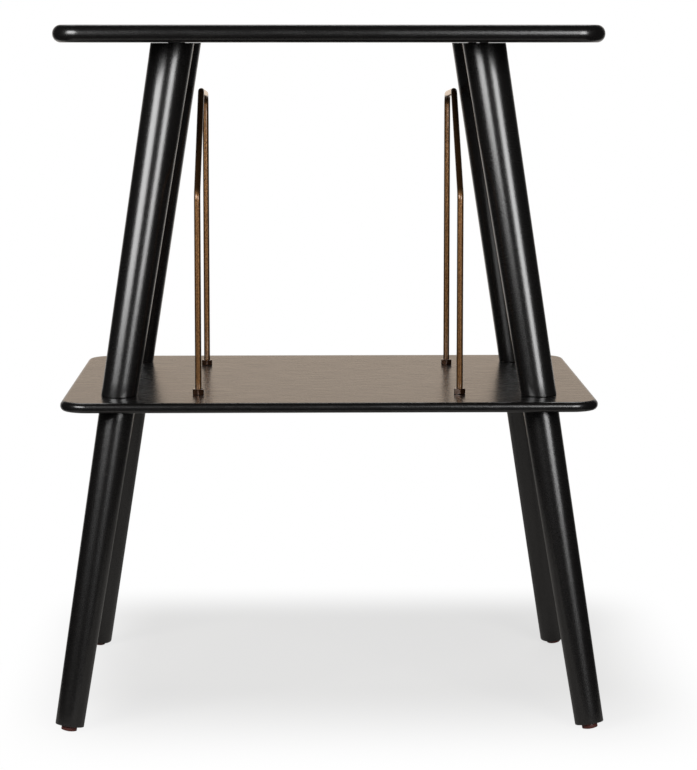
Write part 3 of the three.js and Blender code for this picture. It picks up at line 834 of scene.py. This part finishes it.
def bend(corner, into, away, radius):
    """Points and headings round a bend, without its last point.

    The arc starts radius tan(sweep / 2) before the corner. At angle u it has gone radius sin u
    along the old heading and radius (1 - cos u) towards the inside, and it heads cos u, sin u.
    """
    inward = unit(away - into * (into @ away))
    sweep = math.acos(into @ away)
    start = corner - into * radius * math.tan(sweep / 2)
    steps = math.ceil(sweep / BEND_STEP)
    u = (np.arange(steps) / steps * sweep)[:, None]
    points = start + radius * (np.sin(u) * into + (1 - np.cos(u)) * inward)
    return points, np.cos(u) * into + np.sin(u) * inward


def divider_path(dividers, boards, front_y, back_y, end_z, threaded):
    """The wire's centreline in the plane of Y and Z, with headings.

    It goes up the front post, back along the slope, back along the top rail and down the back
    post. The threaded ends have the close stations that the thread needs.
    """
    corner_z = boards.top_underside - dividers.top_room
    corners = np.array([
        [front_y, end_z],
        [front_y, corner_z - dividers.slant_rise],
        [front_y + dividers.slant_run, corner_z],
        [back_y, corner_z - dividers.rail_fall],
        [back_y, end_z],
    ])
    headings = unit(np.diff(corners, axis=0))
    fine = dividers.thread_pitch / THREAD_STEPS_PER_TURN
    here = corners[0] + headings[0] * threaded
    runs = [straight(corners[0], here, fine)]
    for number in (1, 2, 3):
        into, away = headings[number - 1], headings[number]
        cut = dividers.bend_radius * math.tan(math.acos(into @ away) / 2)
        runs.append(straight(here, corners[number] - into * cut, ROD_STEP))
        runs.append(bend(corners[number], into, away, dividers.bend_radius))
        here = corners[number] + away * cut
    last = corners[4] - headings[3] * threaded
    runs.append(straight(here, last, ROD_STEP))
    runs.append(straight(last, corners[4], fine))
    points = np.concatenate([run[0] for run in runs] + [corners[4:]])
    return points, np.concatenate([run[1] for run in runs] + [headings[3:]])


def divider_rings(x, dividers, boards, front_y, back_y, end_z, threaded):
    """A circle carried along the wire's path.

    At a distance s from the nearer end the radius is cut by the thread's depth times a triangle
    wave of s / pitch - u / 360 degrees, and by the end chamfer where s is less than it.
    """
    path, headings = divider_path(dividers, boards, front_y, back_y, end_z, threaded)
    along = np.concatenate([[0], np.cumsum(np.linalg.norm(np.diff(path, axis=0), axis=1))])
    from_end = np.minimum(along, along[-1] - along)[:, None]
    u = turn(ROD_COLUMNS)
    wave = np.abs((along[:, None] / dividers.thread_pitch - u / (2 * math.pi)) % 1 - 0.5) * 2
    fade = np.clip((threaded - from_end) / dividers.thread_pitch, 0, 1)
    chamfer = np.clip(dividers.end_chamfer - from_end, 0, None)
    radius = dividers.rod_diameter / 2 - np.maximum(dividers.thread_depth * wave * fade, chamfer)
    flat = np.zeros(len(path))
    centre = np.stack([flat + x, path[:, 0], path[:, 1]], -1)[:, None]
    normal = np.stack([flat, headings[:, 1], -headings[:, 0]], -1)[:, None]
    sideways = np.array([1.0, 0.0, 0.0])
    radial = np.cos(u)[:, None] * sideways - np.sin(u)[:, None] * normal
    return centre + radius[..., None] * radial


class STAND_OT_dividers(Operator):
    """Builds the two bent wire dividers"""

    bl_idname = "stand.dividers"
    bl_label = "Wire dividers"

    def execute(self, context):
        boards, _, dividers = stand_sizes()
        for side in SIDES:
            front = middle_of(f"divider_nut_{side}_front")
            back = middle_of(f"divider_nut_{side}_back")
            end_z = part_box(f"wire_divider_{side}")[0].z
            nut_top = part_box(f"divider_nut_{side}_front")[1].z
            rings = divider_rings(front.x, dividers, boards, front.y, back.y, end_z, nut_top - end_z)
            points, faces = shell(rings)
            add_piece(f"wire_divider_{side}_plated", points, faces, finish_of(antique_brass_plate),
                      f"wire_divider_{side}")
        return {"FINISHED"}


# --- Nuts and washers ---

NUT_CONE = math.radians(30)
NUT_CORNER = 0.8 * MM  # radius that cold forming leaves on the hexagon's corners
NUT_FACE_STEP = 0.25 * MM  # from the flats in to the level face
NUT_COUNTERSINK = 0.4 * MM  # depth and width of the chamfer at a bore's mouth
WASHER_BEVEL = 0.15 * MM


def upright_rings(radius, height, centre):
    """Rings about an upright axis. radius and height have the shape (rows, columns) or (rows, 1)."""
    u = turn(HARDWARE_COLUMNS)
    radius = radius + np.zeros((1, HARDWARE_COLUMNS))
    height = height + np.zeros((1, HARDWARE_COLUMNS))
    return np.stack([radius * np.cos(u), radius * np.sin(u), height], -1) + np.array(centre)


def nut_rings(dividers):
    """A hexagon nut whose ends are cut by 30 degree cones, round a bore with countersunk mouths.

    On each sixth of a turn the hexagon's radius is half its width over cos(v), for v from the
    flat's middle. Past the point where the corner's arc leaves the flat it is
    d cos(w) + sqrt(c^2 - d^2 sin(w)^2), where c is the arc's radius, d the distance to its centre
    and w the angle to the corner. The cone starts at a face ring a little smaller than the flats,
    so it leaves an arc on every flat. The rings go up the outside and down the bore.
    """
    half = dividers.nut_flats / 2
    sixth = math.pi / 3
    v = np.abs((turn(HARDWARE_COLUMNS) + sixth / 2) % sixth - sixth / 2)
    w = sixth / 2 - v
    centre = (half - NUT_CORNER) / math.cos(sixth / 2)
    arc = centre * np.cos(w) + np.sqrt(np.clip(NUT_CORNER ** 2 - (centre * np.sin(w)) ** 2, 0, None))
    leaves = math.atan(centre * math.sin(sixth / 2) / half)
    hexagon = np.where(v > leaves, arc, half / np.cos(v))
    face = half - NUT_FACE_STEP
    cut = (hexagon - face) * math.tan(NUT_CONE)
    bore = dividers.rod_diameter / 2 + NUT_GAP
    mouth = bore + NUT_COUNTERSINK
    top = dividers.nut_height
    rows = [(bore, NUT_COUNTERSINK), (mouth, 0), (face, 0), (hexagon, cut),
            (hexagon, top - cut), (face, top), (mouth, top), (bore, top - NUT_COUNTERSINK)]
    even = np.ones(HARDWARE_COLUMNS)
    return np.stack([radius * even for radius, _ in rows]), np.stack([height * even for _, height in rows])


def washer_rings(dividers):
    """A flat ring with a narrow bevel on its outer edges, where a stamped washer is tumbled blunt."""
    bore = dividers.rod_diameter / 2 + FIT_GAP
    rim = dividers.washer_diameter / 2
    top = dividers.washer_thickness
    inner = rim - WASHER_BEVEL
    radius = np.array([bore, inner, rim, rim, inner, bore])[:, None]
    height = np.array([0, 0, WASHER_BEVEL, top - WASHER_BEVEL, top, top])[:, None]
    return radius, height


class STAND_OT_divider_hardware(Operator):
    """Builds the nuts and washers that hold the dividers"""

    bl_idname = "stand.divider_hardware"
    bl_label = "Nuts and washers"

    def execute(self, context):
        _, _, dividers = stand_sizes()
        nut = nut_rings(dividers)
        washer = washer_rings(dividers)
        shapes = {"divider_nut_": nut, "divider_under_nut_": nut, "divider_washer_": washer}
        for prefix, (radius, height) in shapes.items():
            for name in sorted(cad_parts):
                if not name.startswith(prefix):
                    continue
                place = middle_of(name)
                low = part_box(name)[0].z
                rings = upright_rings(radius, height, (place.x, place.y, low))
                points, faces = shell(rings, looped=True)
                add_piece(f"{name}_plated", points, faces, finish_of(unrubbed_brass_plate),
                          name)
        return {"FINISHED"}


# --- Hidden hardware ---

HIDDEN_PREFIXES = ("glide_nail_", "top_stud_", "top_insert_", "shelf_stud_", "leg_insert_")


class STAND_OT_hidden_hardware(Operator):
    """Gives the nails, studs and inserts their zinc finish"""

    bl_idname = "stand.hidden_hardware"
    bl_label = "Nails, studs and inserts"

    def execute(self, context):
        zinc = finish_of(zinc_plated_steel)
        for name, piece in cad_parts.items():
            if name.startswith(HIDDEN_PREFIXES):
                piece.data.materials.clear()
                piece.data.materials.append(zinc)
        return {"FINISHED"}


# --- Stage: floor, world, lamps and camera ---

# The camera stands a little left of the middle, at the height of the top board, looking slightly
# down and slightly right. Its picture is 697 by 770.
CAMERA_PLACE = (-24.31 * MM, -2390.13 * MM, 612.57 * MM)
CAMERA_DOWN = 0.104  # radians below level
CAMERA_RIGHT = 0.0184  # radians right of straight ahead
FOCAL_PIXELS = 2539.33
PICTURE_HEIGHT = 770
SENSOR = 36.0  # millimetres along the picture's longer side
SHIFT_DOWN = 0.1  # of the picture's longer side

# The floor, and the soft patch of it that the camera sees, which fades to white on every side
FLOOR_LOW = (-0.5, -0.42)
FLOOR_HIGH = (0.5, 1.3)
PATCH_MIDDLE = 0.03
PATCH_SIDE = {"From Min": 0.2, "From Max": 0.35}
PATCH_BACK = {"From Min": 0.27, "From Max": 0.45}
PATCH_FRONT = {"From Min": -0.3, "From Max": 0.0}
PATCH_SHARE = 0.32  # of lit paper, at most, in what the camera sees

# The pale, warm wall behind the stand, as the light that the camera doesn't see
WALL_EDGE = {"From Min": math.radians(16), "From Max": math.radians(44)}
WALL_FADE = {"From Min": 0.15, "From Max": 0.4}
WALL_MIDDLE = "#fee8d2"
WALL_SIDES = "#f0ece8"
WALL_MIDDLE_EDGE = {"From Min": math.radians(8), "From Max": math.radians(14)}
ROOM_LEVEL = 0.03
WHITE = (1, 1, 1, 1)


def paper_floor(tree, colours):
    """Matt photographic paper: a soft grey patch round the feet that keeps their shadows.

    The patch's share is the product of three smooth steps: one of the distance to either side,
    one towards the back and one towards the front. What the patch leaves is plain white to the
    camera. Reflections and other light meet the lit paper everywhere.
    """
    place = node(tree, "TexCoord")
    axes = node(tree, "SeparateXYZ", {0: place.outputs["Object"]})
    offset = node(tree, "Math", {0: axes.outputs["X"], 1: PATCH_MIDDLE}, operation="SUBTRACT")
    aside = node(tree, "Math", {0: offset}, operation="ABSOLUTE")
    side = node(tree, "MapRange", {"Value": aside, **PATCH_SIDE, **FALLING}, **SMOOTH)
    back = node(tree, "MapRange", {"Value": axes.outputs["Y"], **PATCH_BACK, **FALLING}, **SMOOTH)
    front = node(tree, "MapRange",
                 {"Value": axes.outputs["Y"], **PATCH_FRONT, "To Max": PATCH_SHARE}, **SMOOTH)
    depth = node(tree, "Math", {0: back, 1: front}, operation="MULTIPLY")
    patch = node(tree, "Math", {0: side, 1: depth}, operation="MULTIPLY")
    white = node(tree, "Math", {0: 1.0, 1: patch}, operation="SUBTRACT")
    ray = node(tree, "LightPath")
    share = node(tree, "Math", {0: white, 1: ray.outputs["Is Camera Ray"]}, operation="MULTIPLY")
    paper = node(tree, "BsdfDiffuse", {"Color": rgba(colours.floor)})
    glow = node(tree, "Emission", {"Color": WHITE, "Strength": 1.0})
    return node(tree, "MixShader", {0: share, 1: paper, 2: glow})


def build_world():
    """A world that is white to the camera, and a low pale wall behind the stand to everything else.

    The wall's share is a smooth step of the bearing from straight back times a smooth step of the
    height, and its middle is warmer than its sides. The rest of the room is dim.
    """
    world = bpy.data.worlds.new("studio")
    world.use_nodes = True
    tree = world.node_tree
    tree.nodes.clear()
    place = node(tree, "TexCoord")
    axes = node(tree, "SeparateXYZ", {0: place.outputs["Generated"]})
    bearing = node(tree, "Math", {0: axes.outputs["X"], 1: axes.outputs["Y"]}, operation="ARCTAN2")
    aside = node(tree, "Math", {0: bearing}, operation="ABSOLUTE")
    wall = node(tree, "MapRange", {"Value": aside, **WALL_EDGE, **FALLING}, **SMOOTH)
    height = node(tree, "MapRange", {"Value": axes.outputs["Z"], **WALL_FADE, **FALLING}, **SMOOTH)
    share = node(tree, "Math", {0: wall, 1: height}, operation="MULTIPLY")
    sides = node(tree, "MapRange", {"Value": aside, **WALL_MIDDLE_EDGE}, **SMOOTH)
    paint = node(tree, "Mix",
                 {"Factor": sides, "A": rgba(linear(WALL_MIDDLE)), "B": rgba(linear(WALL_SIDES))},
                 data_type="RGBA")
    room = node(tree, "Mix",
                {"Factor": share, "A": rgba((ROOM_LEVEL,) * 3), "B": paint.outputs["Result"]},
                data_type="RGBA")
    ray = node(tree, "LightPath")
    light = node(tree, "Mix",
                 {"Factor": ray.outputs["Is Camera Ray"], "A": room.outputs["Result"], "B": WHITE},
                 data_type="RGBA")
    background = node(tree, "Background", {"Color": light.outputs["Result"], "Strength": 1.0})
    node(tree, "OutputWorld", {"Surface": background})
    bpy.context.scene.world = world


# Each lamp: place, point it faces, width, height and radiance, where 1 is a white wall
LAMPS = {
    "softbox_left": ((-0.93, -1.18, 0.93), (0, -0.1, 0.93), 0.82, 0.62, 9.7),
    "softbox_right": ((0.84, -1.78, 0.91), (0, -0.1, 0.91), 0.77, 0.86, 9.7),
    "softbox_behind": ((0, 1.7, 2.1), (0, 0, 0.3), 1.6, 0.9, 3.0),
}


def build_lamps():
    """Rectangular softboxes. A lamp's power is its radiance times pi times its area."""
    for name, (place, target, width, height, radiance) in LAMPS.items():
        lamp = bpy.data.lights.new(name, "AREA")
        lamp.shape = "RECTANGLE"
        lamp.size = width
        lamp.size_y = height
        lamp.energy = radiance * math.pi * width * height
        holder = bpy.data.objects.new(name, lamp)
        holder.location = place
        holder.rotation_euler = (Vector(target) - Vector(place)).to_track_quat("-Z", "Y").to_euler()
        holder.visible_camera = False
        bpy.context.scene.collection.objects.link(holder)


def build_camera():
    """The camera at the picture's viewpoint."""
    lens = bpy.data.cameras.new("camera")
    lens.sensor_width = SENSOR
    lens.lens = FOCAL_PIXELS * SENSOR / PICTURE_HEIGHT
    lens.shift_y = -SHIFT_DOWN
    camera = bpy.data.objects.new("camera", lens)
    camera.location = CAMERA_PLACE
    camera.rotation_euler = (math.pi / 2 - CAMERA_DOWN, 0, -CAMERA_RIGHT)
    bpy.context.scene.collection.objects.link(camera)
    bpy.context.scene.camera = camera


class STAND_OT_stage(Operator):
    """Builds the floor, the room's light, the lamps and the camera"""

    bl_idname = "stand.stage"
    bl_label = "Stage"

    def execute(self, context):
        mesh = bpy.data.meshes.new("floor")
        (left, front), (right, back) = FLOOR_LOW, FLOOR_HIGH
        corners = [(left, front, 0), (right, front, 0), (right, back, 0), (left, back, 0)]
        mesh.from_pydata(corners, [], [[0, 1, 2, 3]])
        mesh.materials.append(finish_of(paper_floor))
        floor = bpy.data.objects.new("floor", mesh)
        context.scene.collection.objects.link(floor)
        build_world()
        build_lamps()
        build_camera()
        context.scene.view_settings.view_transform = "Standard"
        return {"FINISHED"}


# --- Panel, registration and the run ---

OPERATORS = (
    STAND_OT_stage,
    STAND_OT_boards,
    STAND_OT_legs,
    STAND_OT_glides,
    STAND_OT_dividers,
    STAND_OT_divider_hardware,
    STAND_OT_hidden_hardware,
)
GROUPS = {
    "stand_boards": BoardSizes,
    "stand_legs": LegSizes,
    "stand_dividers": DividerSizes,
    "stand_colours": FinishColours,
}


class STAND_PT_sidebar(Panel):
    """Lists the stand's sizes, colours and building steps"""

    bl_idname = "STAND_PT_sidebar"
    bl_label = "Record storage stand"
    bl_space_type = "VIEW_3D"
    bl_region_type = "UI"
    bl_category = "Stand"

    def draw(self, context):
        for name, group in GROUPS.items():
            box = self.layout.box()
            for prop in group.bl_rna.properties:
                if prop.identifier not in {"rna_type", "name"}:
                    box.prop(getattr(context.scene, name), prop.identifier)
        for operator in OPERATORS:
            self.layout.operator(operator.bl_idname)


def register():
    """Registers the classes and hangs the property groups on the scene."""
    for cls in (*GROUPS.values(), *OPERATORS, STAND_PT_sidebar):
        bpy.utils.register_class(cls)
    for name, group in GROUPS.items():
        setattr(bpy.types.Scene, name, PointerProperty(type=group))


def unregister():
    """Takes the property groups off the scene and unregisters the classes."""
    for name in GROUPS:
        delattr(bpy.types.Scene, name)
    for cls in reversed((*GROUPS.values(), *OPERATORS, STAND_PT_sidebar)):
        bpy.utils.unregister_class(cls)


def main():
    """Builds the stage and every piece."""
    register()
    bpy.ops.stand.stage()
    bpy.ops.stand.boards()
    bpy.ops.stand.legs()
    bpy.ops.stand.glides()
    bpy.ops.stand.dividers()
    bpy.ops.stand.divider_hardware()
    bpy.ops.stand.hidden_hardware()


if __name__ == "__main__":
    main()
